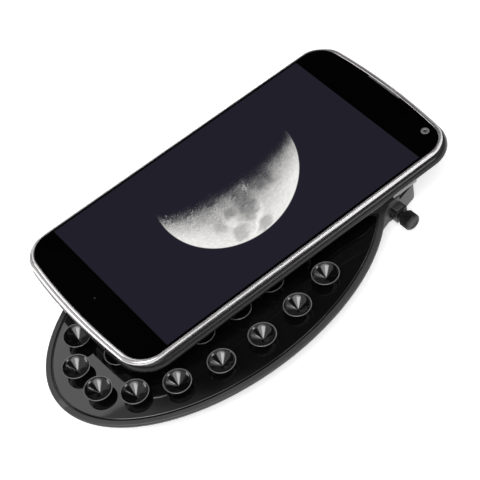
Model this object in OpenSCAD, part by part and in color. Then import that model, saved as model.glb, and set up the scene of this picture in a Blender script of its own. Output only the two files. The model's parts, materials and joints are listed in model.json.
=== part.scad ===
// Oval suction-cup plate that clamps on a telescope eyepiece, with the phone that it holds.
// Origin: centre of the eyepiece bore's mouth. +Z runs up the optical axis to the phone's lens,
// +Y runs along the plate's long axis and out past the collar. Millimetres throughout.

/* [Plate] */
// Half width of the oval, to the middle of the groove round the glossy face
oval_a = 35.7; // [33:0.1:40]
// Half length of the oval, to the middle of the groove
oval_b = 61.6; // [59:0.1:66]
// Distance from the bore's axis back to the middle of the oval
oval_back = 61; // [59:0.5:64]
// Width of the satin rim outside the groove
rim_w = 2.05; // [1.6:0.05:3]
// Width of the groove
groove_w = 0.5; // [0.3:0.05:0.8]
// Height of the glossy face above the collar's mouth
plate_top = 9.3; // [9:0.1:12]
// Thickness of the oval plate over both shells
plate_t = 4.25; // [4.2:0.05:5]
// Radius of the lower shell's rounded edge
edge_r = 4.1; // [3.9:0.1:4.8]
// Thickness of the glossy face
inlay_t = 1.2; // [1:0.1:1.4]

/* [Suction cups] */
// Radius of a cup at its rim
cup_r = 4.55; // [4:0.05:5]
// Height of a cup's rim above the glossy face
cup_h = 3.35; // [3:0.05:4]
// Radius of a cup's stem
stem_r = 1.3; // [1:0.05:1.5]
// Half width and half length of the outer ring of cups
outer_ring = [27.5, 53.5]; // [20:0.5:60]
// Half width and half length of the inner ring of cups
inner_ring = [14.3, 40]; // [10:0.5:45]

/* [Collar and thumb screw] */
// Radius of the eyepiece bore
bore_r = 14.5; // [13.5:0.1:14.8]
// Depth of the eyepiece bore up to its stop
bore_len = 6; // [5:0.1:6.3]
// Outer radius of the collar
collar_r = 17.3; // [17:0.1:18.5]
// Radius of the opening for the phone's lens
sight_r = 9; // [7:0.5:11]
// Radius of the hollow curve from the collar to the oval
flare_r = 14; // [10:1:18]
// Height of the thumb screw's axis above the collar's mouth
screw_z = 4.3; // [4.1:0.1:4.5]
// Radius of the screw's thread
screw_r = 1.5; // [1.4:0.05:1.6]
// Radius of the knurled knob
knob_r = 2.95; // [2.5:0.05:4]

/* [Phone] */
// Half width of the phone at its widest
phone_hw = 34; // [33.5:0.1:35]
// Reach of the phone above the middle of its screen
phone_top = 68; // [67:0.1:69]
// Reach of the phone below the middle of its screen
phone_foot = 65.9; // [65:0.1:67]
// Thickness of the phone
phone_t = 9.1; // [9:0.1:10]
// Half width and half length of the lit screen
screen = [30.7, 51.2]; // [30:0.1:52]
// Place of the screen's middle on the plate
phone_at = [-13.9, -39.1]; // [-40:0.1:0]
// Turn of the phone on the plate, clockwise from above, in degrees
phone_turn = 1.91; // [0:0.01:4]

/* [Hidden] */
gap = 0.05;           // between pieces of one body
move_gap = 0.25;      // round a button or tray
rim_split = 0.65;     // depth of the upper shell's rim below the glossy face
tray_t = 0.8;         // floor of the upper shell under the glossy face
floor_t = 1.25;       // floor of the lower shell
plate_bottom = plate_top - plate_t;
tray_z = plate_top - inlay_t - tray_t;
collar_h = tray_z - gap;
split_z = plate_top - rim_split;
outer_angles = [27, 11, -5, -21.5, -39, -57.5, -78];   // right half of the outer ring
inner_angles = [37, 15, -5, -25.5, -50];               // right half of the inner ring
screw_angles = [19, -30, -68];                         // right half of the shell screws
screw_inset = 4.2;

thread_pitch = 0.7;
shoulder_x = 12.9;          // the collar's two soft shoulders
shoulder_y = 8.4;
shoulder_r = 3;
nut_hw = 2.3;
slot_hw = nut_hw + 0.15;
slot_x = collar_r - 1.4;    // inner end of the nut's slot in the collar wall
nut_face = 20.4;            // outer face of the nut
knob_x = nut_face + 1.2;
knob_len = 4.2;
key_hw = 1.6;               // half width of the tongue that covers the nut
key_x = 19.9;
tip_r = screw_r - 0.2;

bow_r = 220;                // bowed ends of the phone
glass_hw = 31.5;
glass_top = 64.75;
glass_foot = 63.65;
glass_t = 0.8;
trim_t = 1.7;
back_t = 0.75;
case_hw = 30.2;             // inside of the side band
case_top = 64.2;
case_foot = 62.2;
band_levels = [[-1.75, 1.4], [-3, 0.35], [-4, 0], [-5, 0.7], [-6, 1.4], [-7.2, 2.3], [-8.3, 3.3]];
phone_z = plate_top + cup_h + gap + phone_t;
lens_at = [-phone_at[0] * cos(phone_turn) + phone_at[1] * sin(phone_turn),
           -phone_at[0] * sin(phone_turn) - phone_at[1] * cos(phone_turn)];
button_z = [-5.5, -3.9];
power_y = [36.7, 46.8];
volume_y = [34, 54];
tray_y = [20.5, 32.5];
port_z = -4.8;
audio_x = -18;
audio_z = -5.2;

function ring_spots(ring, angles) =
    [for (side = [1, -1], a = angles) [side * ring[0] * cos(a), ring[1] * sin(a) - oval_back]];
outer_spots = ring_spots(outer_ring, outer_angles);
inner_spots = concat(ring_spots(inner_ring, inner_angles), [[0, -inner_ring[1] - oval_back]]);
screw_spots = ring_spots([oval_a - screw_inset, oval_b - screw_inset], screw_angles);

function numbered(name, i) = str(name, i < 10 ? "_0" : "_", i);

// ---- outlines ----

// The oval, grown outwards from the groove's middle.
module oval(grow = 0) {
    translate([0, -oval_back])
        polygon([for (i = [0:143]) [(oval_a + grow) * cos(i * 2.5), (oval_b + grow) * sin(i * 2.5)]]);
}

// The two hollow curves that sweep the oval's edge into the collar.
module flares() {
    reach = collar_r + flare_r;
    flare_y = (oval_b + rim_w + flare_r) * sqrt(1 - pow(reach / (oval_a + rim_w + flare_r), 2)) - oval_back;
    for (side = [0, 1])
        mirror([side, 0])
            difference() {
                translate([0, -14])
                    square([21, 14 + flare_y]);
                translate([reach, flare_y])
                    circle(r = flare_r, $fn = 96);
            }
}

// The collar's front is round, with two soft shoulders.
module collar_round(grow = 0) {
    hull() {
        circle(r = collar_r + grow, $fn = 128);
        for (side = [-1, 1])
            translate([side * shoulder_x, shoulder_y])
                circle(r = shoulder_r + grow, $fn = 48);
    }
}

// The whole collar from above, with a foot that widens a little under the plate.
module collar_outline(grow = 0) {
    collar_round(grow);
    foot = [[collar_r * cos(10), -collar_r * sin(10)], [18.6, -9], [18.6, -15], [14, -20]];
    polygon(concat([for (p = foot) [p[0] + grow, p[1] - grow]],
                   [for (i = [3:-1:0]) [-foot[i][0] - grow, foot[i][1] - grow]]));
}

// Where the glossy face is cut back round the collar.
module inlay_outline(grow) {
    difference() {
        oval(grow);
        circle(r = collar_r + 1 - grow, $fn = 128);
    }
}

// The slot that the nut slides down, open at the top of the collar.
module nut_slot() {
    translate([slot_x, -slot_hw, screw_z - nut_hw + 0.2])
        cube([4, 2 * slot_hw, plate_top]);
}

// One bowed end of the phone's outline, from its right side round to its left.
function phone_end(hw, reach, r) =
    let (cx = hw - r,
         c0 = reach - bow_r,
         cy = c0 + sqrt(pow(bow_r - r, 2) - cx * cx),
         a = atan2(cy - c0, cx),
         n = 8)
    concat([for (i = [0:n]) [cx + r * cos(a * i / n), cy + r * sin(a * i / n)]],
           [for (i = [1:n - 1]) let (t = a + (180 - 2 * a) * i / n) [bow_r * cos(t), c0 + bow_r * sin(t)]],
           [for (i = [0:n]) let (t = 180 - a + a * i / n) [r * cos(t) - cx, cy + r * sin(t)]]);

module phone_outline(hw, top, foot, r) {
    polygon(concat(phone_end(hw, top, r), [for (p = phone_end(hw, foot, r)) [-p[0], -p[1]]]));
}

// A slab of the phone between two heights.
module phone_slab(low, high, hw, top, foot, r) {
    translate([0, 0, low])
        linear_extrude(high - low)
            phone_outline(hw, top, foot, r);
}

// The phone's own axes: origin at the screen's middle, on the face of the glass.
module on_phone() {
    translate([phone_at[0], phone_at[1], phone_z])
        rotate([0, 0, -phone_turn])
            children();
}

// A block given by its ranges along X, Y and Z.
module block(x, y, z) {
    translate([x[0], y[0], z[0]])
        cube([x[1] - x[0], y[1] - y[0], z[1] - z[0]]);
}

// ---- the plate ----

module glossy_inlay() {
    color("black")
        difference() {
            translate([0, 0, plate_top - inlay_t])
                linear_extrude(inlay_t)
                    inlay_outline(-groove_w / 2);
            stem_holes();
        }
}

module stem_holes() {
    for (p = concat(outer_spots, inner_spots))
        translate([p[0], p[1], tray_z - 1])
            cylinder(r = stem_r + gap, h = 4, $fn = 32);
}

module upper_shell() {
    rim_rounding = [[split_z, 0], [plate_top - 0.3, 0.08], [plate_top - 0.1, 0.28], [plate_top, 0.6]];
    color("dimgray")
        difference() {
            union() {
                hull()
                    for (level = rim_rounding)
                        translate([0, 0, level[0] - gap])
                            linear_extrude(gap)
                                oval(rim_w - level[1]);
                translate([0, 0, tray_z])
                    linear_extrude(plate_top - tray_z)
                        collar_top();
                translate([0, 0, tray_z])
                    linear_extrude(split_z - tray_z)
                        oval(groove_w / 2 + gap);
                for (p = screw_spots)
                    translate([p[0], p[1], plate_bottom + floor_t + gap])
                        cylinder(r = 1.9, h = 1.4, $fn = 32);
            }
            translate([0, 0, plate_top - inlay_t])
                linear_extrude(inlay_t + 1)
                    inlay_outline(groove_w / 2);
            translate([0, 0, tray_z - 1])
                cylinder(r = sight_r, h = 4, $fn = 96);
            stem_holes();
            screw_holes(0.9, 3.1);
            nut_slot();
        }
}

// The satin cover over the collar and its flares.
module collar_top() {
    collar_round();
    flares();
}

// Upright holes at the shell screws, from below the plate.
module screw_holes(r, depth) {
    for (p = screw_spots)
        translate([p[0], p[1], plate_bottom - 0.1])
            cylinder(r = r, h = depth, $fn = 32);
}

module lower_shell() {
    centre_z = plate_top - 0.15;      // the edge's arc is centred just under the glossy face
    color("dimgray")
        difference() {
            union() {
                hull()
                    for (z = [plate_bottom, 5.25, 5.8, 6.6, 7.6, split_z - 2 * gap])
                        translate([0, 0, z])
                            linear_extrude(gap)
                                oval(rim_w - edge_r + sqrt(max(0, pow(edge_r, 2) - pow(centre_z - z, 2))));
                translate([0, 0, plate_bottom])
                    linear_extrude(collar_h - plate_bottom)
                        flares();
            }
            translate([0, 0, plate_bottom + floor_t])
                linear_extrude(plate_t)
                    oval(-0.6);
            translate([0, 0, tray_z - gap])
                linear_extrude(plate_t)
                    oval(groove_w / 2 + 2 * gap);
            translate([0, 0, plate_bottom - 1])
                linear_extrude(plate_t + 2)
                    collar_outline(gap);
            translate([0, 0, collar_h])
                linear_extrude(plate_t)
                    collar_top();
            screw_holes(1, 3);
            screw_holes(1.8, 0.9);
            nut_slot();
        }
}

module shell_screws() {
    color("black")
        for (p = screw_spots)
            translate([p[0], p[1], plate_bottom])
                difference() {
                    union() {
                        cylinder(r = 1.7, h = 0.75, $fn = 32);
                        cylinder(r = 0.85, h = 2.9, $fn = 24);
                    }
                    for (turn = [0, 90])
                        rotate([0, 0, turn])
                            cube([2, 0.4, 0.8], center = true);
                }
}

module suction_cup(spot) {
    wall = 0.3;
    color([0.06, 0.06, 0.065])
        translate([spot[0], spot[1], plate_top])
            rotate_extrude($fn = 64)
                polygon([
                    [0, -inlay_t - tray_t - 0.8], [2.1, -inlay_t - tray_t - 0.8],
                    [2.1, -inlay_t - tray_t - gap], [stem_r, -inlay_t - tray_t - gap], [stem_r, 0.02],
                    [1.9, 0.02], [2.1, 0.5], [cup_r, cup_h - wall], [cup_r, cup_h],
                    [cup_r - wall, cup_h], [0, 0.55]]);
}

// ---- the collar and its thumb screw ----

module eyepiece_collar() {
    color("dimgray")
        difference() {
            linear_extrude(collar_h)
                collar_outline();
            translate([0, 0, -1])
                cylinder(r = bore_r, h = bore_len + 1, $fn = 128);
            translate([0, 0, -1])
                cylinder(r = sight_r, h = collar_h + 2, $fn = 96);
            nut_slot();
            on_screw(bore_r - 2)
                cylinder(r = screw_r + 0.1, h = 6, $fn = 48);
        }
}

// The thumb screw's axis, from x outwards.
module on_screw(x) {
    translate([x, 0, screw_z])
        rotate([0, 90, 0])
            children();
}

module thread_nut() {
    color("black")
        difference() {
            union() {
                block([slot_x + gap, collar_r + gap], [-nut_hw, nut_hw],
                      [screw_z - nut_hw + 0.25, screw_z + nut_hw - 0.2]);
                block([collar_r + gap, nut_face], [-nut_hw, nut_hw], [screw_z - nut_hw, screw_z + nut_hw]);
            }
            on_screw(slot_x - 1)
                cylinder(r = screw_r + gap, h = 7, $fn = 48);
        }
}

module nut_key() {
    low = screw_z + nut_hw + gap;
    color("gray") {
        block([slot_x + gap, collar_r - gap], [-nut_hw, nut_hw], [screw_z + nut_hw - 0.15, plate_top - gap]);
        block([collar_r - 0.5, key_x], [-key_hw, key_hw], [low, low + 0.5]);
    }
}

module screw_tip() {
    color("ivory")
        difference() {
            on_screw(bore_r + 0.1)
                cylinder(r = tip_r, h = 1.7, $fn = 48);
            on_screw(bore_r + 0.9)
                cylinder(r = 0.75, h = 2, $fn = 32);
        }
}

module screw_stud() {
    color("black") {
        on_screw(bore_r + 0.95)
            cylinder(r = 0.7, h = 2, $fn = 32);
        on_screw(bore_r + 1.85)
            cylinder(r = screw_r, h = knob_x + 3 - bore_r - 1.85, $fn = 48);
    }
}

module screw_knob() {
    chamfer = 0.7;
    flutes = 24;
    color("black")
        difference() {
            on_screw(knob_x)
                rotate_extrude($fn = 96)
                    polygon([[0, 0], [knob_r - chamfer, 0], [knob_r, chamfer], [knob_r, knob_len - chamfer],
                             [knob_r - chamfer, knob_len], [0, knob_len]]);
            on_screw(knob_x)
                for (i = [0:flutes - 1])
                    rotate([0, 0, i * 360 / flutes])
                        translate([knob_r + 0.1, 0, -1])
                            cylinder(r = 0.25, h = knob_len + 2, $fn = 16);
            on_screw(knob_x - 1)
                cylinder(r = screw_r, h = 4, $fn = 48);
        }
}

// ---- the phone ----

// The notch at the top of the glass, over the earpiece.
module earpiece_notch(grow = 0) {
    block([-8 - grow, 7.1 + grow], [63.95 - grow, glass_top + 2], [-5, 1]);
}

module front_glass() {
    color([0.02, 0.02, 0.03])
        on_phone()
            difference() {
                phone_slab(-glass_t, 0, glass_hw, glass_top, glass_foot, 8.5);
                earpiece_notch(gap);
            }
}

module display_panel() {
    color([0.12, 0.12, 0.16])
        on_phone()
            block([-screen[0] - 0.3, screen[0] + 0.3], [-screen[1] - 0.8, screen[1] + 0.8],
                  [gap - trim_t, -glass_t - gap]);
}

module trim_ring() {
    color("silver")
        on_phone()
            difference() {
                phone_slab(-trim_t, -gap, phone_hw - 1.5, phone_top - 1.5, phone_foot, 10);
                phone_slab(-trim_t - 1, 1, glass_hw + gap, glass_top + gap, glass_foot + gap, 8.5);
            }
}

module mid_frame() {
    color("gray")
        on_phone()
            difference() {
                phone_slab(-2.9, -2.1, case_hw - gap, case_top - gap, case_foot - gap, 8);
                translate([23.75, 60.25, -5])
                    cylinder(r = 2.4, h = 5, $fn = 32);
                block([-7.5, 6.5], [59.9, 63.6], [-5, 0]);
            }
}

module side_band() {
    color([0.2, 0.2, 0.21])
        on_phone()
            difference() {
                hull()
                    for (level = band_levels)
                        translate([0, 0, level[0] - gap / 2])
                            linear_extrude(gap / 2)
                                phone_outline(phone_hw - level[1], phone_top - level[1],
                                              phone_foot - 0.6 * level[1], 11.5 - 0.5 * level[1]);
                phone_slab(-phone_t, 0, case_hw, case_top, case_foot, 8);
                button_gap([phone_hw - 5, phone_hw + 1], power_y);
                button_gap([-phone_hw - 1, 5 - phone_hw], volume_y);
                block([-phone_hw - 1, 5 - phone_hw], [tray_y[0] - 0.15, tray_y[1] + 0.15], [-6.75, -4.95]);
                block([-4.2, 4.2], [-phone_foot - 1, -case_foot + 1], [port_z - 1.5, port_z + 1.5]);
                translate([audio_x, case_top - 1.5, audio_z])
                    rotate([-90, 0, 0])
                        cylinder(r = 1.9, h = 6, $fn = 32);
                for (x = [-8.5, 8.5])
                    translate([x, -case_foot + 1, port_z])
                        rotate([90, 0, 0])
                            cylinder(r = 1.25, h = 6, $fn = 24);
                translate([14, -case_foot + 1, port_z])
                    rotate([90, 0, 0])
                        cylinder(r = 0.5, h = 6, $fn = 16);
            }
}

// The opening in the side band round a side button.
module button_gap(x, y) {
    block(x, [y[0] - move_gap, y[1] + move_gap], [button_z[0] - move_gap, button_z[1] + move_gap]);
}

module back_cover() {
    color("black")
        on_phone()
            difference() {
                phone_slab(-phone_t, -phone_t + back_t, phone_hw - 3.5, phone_top - 3.5, phone_foot - 2.2, 9.7);
                translate([lens_at[0], lens_at[1], -phone_t - 1])
                    cylinder(r = 4.25, h = 3, $fn = 64);
                translate([lens_at[0] - 9, lens_at[1], -phone_t - 1])
                    cylinder(r = 1.85, h = 3, $fn = 32);
            }
}

module battery() {
    color("darkgray")
        on_phone()
            block([-27, 27], [-43, 18], [-7.7, -3.1]);
}

module logic_board() {
    color("darkgreen")
        on_phone()
            difference() {
                block([-28, 28], [20, 58], [-4, -3.1]);
                block([lens_at[0] - 5, lens_at[0] + 5], [lens_at[1] - 5, lens_at[1] + 5], [-5, -2]);
                block([-24, -12], [53, 59], [-5, -2]);
            }
}

module board_shields() {
    color("silver")
        on_phone() {
            block([-10, 5], [36, 54], [-5.5, -4.05]);
            block([-10, 5], [22, 33], [-5.2, -4.05]);
            block([20, 27], [24, 52], [-5.2, -4.05]);
        }
}

module front_camera() {
    color("dimgray")
        on_phone()
            translate([23.75, 60.25, -4])
                cylinder(r = 2.2, h = 4 - glass_t - gap, $fn = 32);
}

module rear_camera() {
    color("dimgray")
        on_phone() {
            block([lens_at[0] - 4.5, lens_at[0] + 4.5], [lens_at[1] - 4.5, lens_at[1] + 4.5], [-7.3, -3]);
            translate([lens_at[0], lens_at[1], 0.65 - phone_t])
                cylinder(r = 3.2, h = 2, $fn = 48);
        }
}

module rear_window() {
    color("lightblue")
        on_phone()
            translate([lens_at[0], lens_at[1], -phone_t])
                cylinder(r = 4.2, h = 0.6, $fn = 64);
}

module flash_lamp() {
    color("ivory")
        on_phone()
            translate([lens_at[0] - 9, lens_at[1], -phone_t])
                cylinder(r = 1.8, h = 1.5, $fn = 32);
}

module earpiece() {
    color("gray")
        on_phone()
            block([-7, 6], [60.2, 63.3], [-3.4, -glass_t - gap]);
}

module earpiece_grille() {
    color("silver")
        on_phone()
            intersection() {
                phone_slab(-glass_t, -0.15, glass_hw, glass_top, glass_foot, 8.5);
                earpiece_notch();
            }
}

module loudspeaker() {
    color("dimgray")
        on_phone()
            block([-26, -10], [-57, -46], [-7, -3.1]);
}

module buzz_motor() {
    color("silver")
        on_phone()
            translate([18, -51, -6.2])
                cylinder(r = 4.5, h = 3, $fn = 48);
}

module charging_socket() {
    color("silver")
        on_phone() {
            difference() {
                block([-3.9, 3.9], [-phone_foot + 1.3, -58], [port_z - 1.3, port_z + 1.3]);
                block([-3.5, 3.5], [-phone_foot - 1, -59], [port_z - 0.95, port_z + 0.95]);
            }
            block([-2, 2], [-phone_foot + 2, -58.5], [port_z + 0.2, port_z + 0.7]);
        }
}

module audio_socket() {
    color("black")
        on_phone()
            translate([audio_x, case_top - 11, audio_z])
                rotate([-90, 0, 0])
                    difference() {
                        cylinder(r = 2.2, h = 9.8, $fn = 32);
                        translate([0, 0, 1])
                            cylinder(r = 1.75, h = 10, $fn = 32);
                    }
}

module power_button() {
    color("lightgray")
        on_phone()
            block([phone_hw - 2.4, phone_hw + 0.1], power_y, button_z);
}

module volume_rocker() {
    color("lightgray")
        on_phone()
            block([-phone_hw - 0.1, 2.4 - phone_hw], volume_y, button_z);
}

module sim_tray() {
    color("gray")
        on_phone()
            difference() {
                union() {
                    block([-phone_hw + 1, 2.2 - phone_hw], tray_y, [-6.6, -5.1]);
                    block([2 - phone_hw, -15], [tray_y[0] + 0.5, tray_y[1] - 0.5], [-6.5, -5.8]);
                }
                block([-28, -17], [tray_y[0] + 2, tray_y[1] - 2], [-7, -5]);
            }
}

module bottom_screws() {
    color("silver")
        on_phone()
            for (x = [-8.5, 8.5])
                translate([x, -phone_foot + 1.2, port_z])
                    rotate([-90, 0, 0]) {
                        cylinder(r = 1.2, h = 1, $fn = 24);
                        cylinder(r = 0.7, h = 6, $fn = 24);
                    }
}

module microphone() {
    color("gold")
        on_phone()
            block([12.4, 15.6], [-61.6, -59.4], [port_z - 0.6, port_z + 0.6]);
}

glossy_inlay();
upper_shell();
lower_shell();
shell_screws();
eyepiece_collar();
thread_nut();
nut_key();
screw_tip();
screw_stud();
screw_knob();
front_glass();
display_panel();
trim_ring();
mid_frame();
side_band();
back_cover();
battery();
logic_board();
board_shields();
front_camera();
rear_camera();
rear_window();
flash_lamp();
earpiece();
earpiece_grille();
loudspeaker();
buzz_motor();
charging_socket();
audio_socket();
power_button();
volume_rocker();
sim_tray();
bottom_screws();
microphone();
for (i = [1:len(outer_spots)])
    suction_cup(outer_spots[i - 1]);
for (i = [1:len(inner_spots)])
    suction_cup(inner_spots[i - 1]);
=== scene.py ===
import json
from math import acos, atan2, cos, degrees, dist, hypot, pi, radians, sin, sqrt, tan

import bmesh
import bpy
from mathutils import Matrix, Vector


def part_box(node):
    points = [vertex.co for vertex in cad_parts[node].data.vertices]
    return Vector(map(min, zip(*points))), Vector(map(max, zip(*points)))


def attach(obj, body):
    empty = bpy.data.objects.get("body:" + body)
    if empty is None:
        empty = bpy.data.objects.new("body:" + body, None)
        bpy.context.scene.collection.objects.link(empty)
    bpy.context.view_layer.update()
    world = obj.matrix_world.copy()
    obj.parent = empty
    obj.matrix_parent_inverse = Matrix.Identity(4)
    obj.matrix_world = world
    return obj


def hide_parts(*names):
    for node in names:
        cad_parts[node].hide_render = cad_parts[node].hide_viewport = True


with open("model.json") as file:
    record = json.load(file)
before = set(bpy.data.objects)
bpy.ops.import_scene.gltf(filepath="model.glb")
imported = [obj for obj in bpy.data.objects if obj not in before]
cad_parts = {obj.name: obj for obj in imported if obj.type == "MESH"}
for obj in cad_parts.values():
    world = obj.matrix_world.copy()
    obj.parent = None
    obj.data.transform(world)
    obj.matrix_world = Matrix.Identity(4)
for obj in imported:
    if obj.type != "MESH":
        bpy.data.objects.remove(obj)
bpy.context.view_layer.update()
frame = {"nodes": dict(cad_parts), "record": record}
mm = 0.001
weld = 0.002 * mm         # points closer than this become one
print("frame loaded:", len(frame["nodes"]), "nodes")


# Small helpers. Outlines and profiles are in millimetres, and become metres as a mesh is made.

def low(node):
    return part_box(node)[0] / mm


def high(node):
    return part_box(node)[1] / mm


def linked(name, data):
    thing = bpy.data.objects.new(name, data)
    bpy.context.scene.collection.objects.link(thing)
    return thing


def moved(x, y, z=0.0, place=Matrix.Identity(4)):
    # the place shifted along its own axes
    return place @ Matrix.Translation((x * mm, y * mm, z * mm))


def newPiece(name, verts, faces, place=Matrix.Identity(4)):
    mesh = bpy.data.meshes.new(name)
    mesh.from_pydata([Vector(v) * mm for v in verts], [], faces)
    piece = linked(name, mesh)
    piece.matrix_world = place
    tidyMesh(piece)
    return piece


def tidyMesh(piece):
    shape = bmesh.new()
    shape.from_mesh(piece.data)
    bmesh.ops.remove_doubles(shape, verts=shape.verts, dist=weld)
    bmesh.ops.recalc_face_normals(shape, faces=shape.faces)
    shape.to_mesh(piece.data)
    shape.free()


def modify(piece, kind, **settings):
    # adds a modifier and applies it at once
    tool = piece.modifiers.new(kind, kind)
    for key, value in settings.items():
        setattr(tool, key, value)
    bpy.context.view_layer.update()
    graph = bpy.context.evaluated_depsgraph_get()
    done = bpy.data.meshes.new_from_object(piece.evaluated_get(graph))
    piece.modifiers.clear()
    piece.data = done


def cut(piece, *cutters):
    # takes the cutters' shapes out of the piece
    for cutter in cutters:
        modify(piece, "BOOLEAN", operation="DIFFERENCE", solver="EXACT", object=cutter)
        bpy.data.objects.remove(cutter)


def softenEdges(piece, width):
    modify(piece, "BEVEL", width=width * mm, segments=2, limit_method="ANGLE", angle_limit=radians(40),
           use_clamp_overlap=True)


def smoothShade(piece, angle=32):
    piece.data.polygons.foreach_set("use_smooth", [True] * len(piece.data.polygons))
    piece.data.set_sharp_from_angle(angle=radians(angle))


def settle(piece, body, slotName, *nodes, material=None):
    # a finished piece gets its finish, its body and the nodes it stands for
    piece.data.materials.clear()
    piece.data.materials.append(material or finishes[slotName])
    smoothShade(piece)
    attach(piece, body)
    if nodes:
        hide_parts(*nodes)


def loft(rings, closed=False):
    # skins rings of equally many points; closed joins the last ring to the first
    count = len(rings[0])
    verts = [p for ring in rings for p in ring]
    faces = []
    spans = len(rings) if closed else len(rings) - 1
    for i in range(spans):
        a = i * count
        b = (i + 1) % len(rings) * count
        for j in range(count):
            k = (j + 1) % count
            faces.append((a + j, a + k, b + k, b + j))
    if not closed:
        faces.append(tuple(reversed(range(count))))
        faces.append(tuple(range(len(verts) - count, len(verts))))
    return verts, faces


def arc(centre, radius, start, end, steps):
    # points along an arc, both ends included; angles in degrees
    turns = [radians(start + (end - start) * i / steps) for i in range(steps + 1)]
    return [(centre[0] + radius * cos(t), centre[1] + radius * sin(t)) for t in turns]


def withoutRepeats(points, least=0.01):
    kept = [points[0]]
    for p in points[1:]:
        if dist(p, kept[-1]) > least:
            kept.append(p)
    if dist(kept[0], kept[-1]) < least:
        kept.pop()
    return kept


def inset(points, depth, z, share=None):
    # a ring at height z, moved in from the outline by depth, less where share says so
    ring = []
    count = len(points)
    for i, p in enumerate(points):
        before, after = points[i - 1], points[(i + 1) % count]
        along = Vector((after[0] - before[0], after[1] - before[1])).normalized()
        reach = depth * (share[i] if share else 1)
        ring.append((p[0] - along.y * reach, p[1] + along.x * reach, z))
    return ring


def roundedPolygon(corners, radius, steps=8):
    # a polygon with every corner turned into an arc
    points = []
    count = len(corners)
    for i in range(count):
        corner = Vector(corners[i])
        back = (Vector(corners[i - 1]) - corner).normalized()
        ahead = (Vector(corners[(i + 1) % count]) - corner).normalized()
        half = back.angle(ahead) / 2
        middle = corner + (back + ahead).normalized() * radius / sin(half)
        first = corner + back * radius / tan(half) - middle
        turn = first.angle_signed(corner + ahead * radius / tan(half) - middle)
        for k in range(steps + 1):
            spoke = first.copy()
            spoke.rotate(Matrix.Rotation(-turn * k / steps, 2))
            points.append(tuple(middle + spoke))
    return points


def slab(name, points, bottom, top, place=Matrix.Identity(4)):
    rings = [[(p[0], p[1], z) for p in points] for z in (bottom, top)]
    return newPiece(name, *loft(rings), place)


def stacked(name, outline, levels, place=Matrix.Identity(4)):
    # a solid from one outline, moved in and up through (depth, height) pairs
    return newPiece(name, *loft([inset(outline, d, z) for d, z in levels]), place)


def boxCutter(x, y, z, place=Matrix.Identity(4)):
    return slab("cutter", [(x[0], y[0]), (x[1], y[0]), (x[1], y[1]), (x[0], y[1])], z[0], z[1], place)


def lathe(name, profile, segments=64, place=Matrix.Identity(4), shape=None):
    # turns (radius, height) pairs round Z; shape may change a radius by angle and height
    turns = [2 * pi * j / segments for j in range(segments)]
    rings = []
    for r, z in profile:
        reach = [shape(r, t, z) if shape else r for t in turns]
        rings.append([(reach[j] * cos(t), reach[j] * sin(t), z) for j, t in enumerate(turns)])
    verts, faces = loft(rings)
    # an end on the axis needs no cap
    caps = [cap for cap, end in zip(faces[-2:], (profile[0], profile[-1])) if end[0] > 0.01]
    return newPiece(name, verts, faces[:-2] + caps, place)


def cylinderCutter(radius, bottom, top, place=Matrix.Identity(4), segments=64):
    return lathe("cutter", [(radius, bottom), (radius, top)], segments, place)


def fillBetween(piece, z, *loops):
    # adds a flat face at height z between closed loops of points
    shape = bmesh.new()
    edges = []
    for loop in loops:
        verts = [shape.verts.new((p[0] * mm, p[1] * mm, z * mm)) for p in loop]
        edges += [shape.edges.new((verts[i - 1], verts[i])) for i in range(len(verts))]
    bmesh.ops.triangle_fill(shape, use_beauty=True, edges=edges)
    sheet = bpy.data.meshes.new("sheet")
    shape.to_mesh(sheet)
    shape.free()
    whole = bmesh.new()
    whole.from_mesh(piece.data)
    whole.from_mesh(sheet)
    whole.to_mesh(piece.data)
    whole.free()
    bpy.data.meshes.remove(sheet)


def addWall(piece, *rings):
    # adds an open wall through rings of points, each at its own height
    verts, faces = loft([[(p[0], p[1], z) for p in points] for points, z in rings])
    shape = bmesh.new()
    shape.from_mesh(piece.data)
    made = [shape.verts.new(Vector(v) * mm) for v in verts]
    for face in faces[:-2]:
        shape.faces.new([made[i] for i in face])
    shape.to_mesh(piece.data)
    shape.free()


def softCopy(node, name, width, body, slotName):
    # the node's own shape with its hard edges eased
    piece = linked(name, frame["nodes"][node].data.copy())
    shape = bmesh.new()
    shape.from_mesh(piece.data)
    bmesh.ops.remove_doubles(shape, verts=shape.verts, dist=weld)
    bmesh.ops.dissolve_limit(shape, angle_limit=radians(1), verts=shape.verts, edges=shape.edges)
    shape.to_mesh(piece.data)
    shape.free()
    softenEdges(piece, width)
    settle(piece, body, slotName, node)


# Materials. Each finish has its own function, and the patterns follow the piece's own coordinates.

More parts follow.
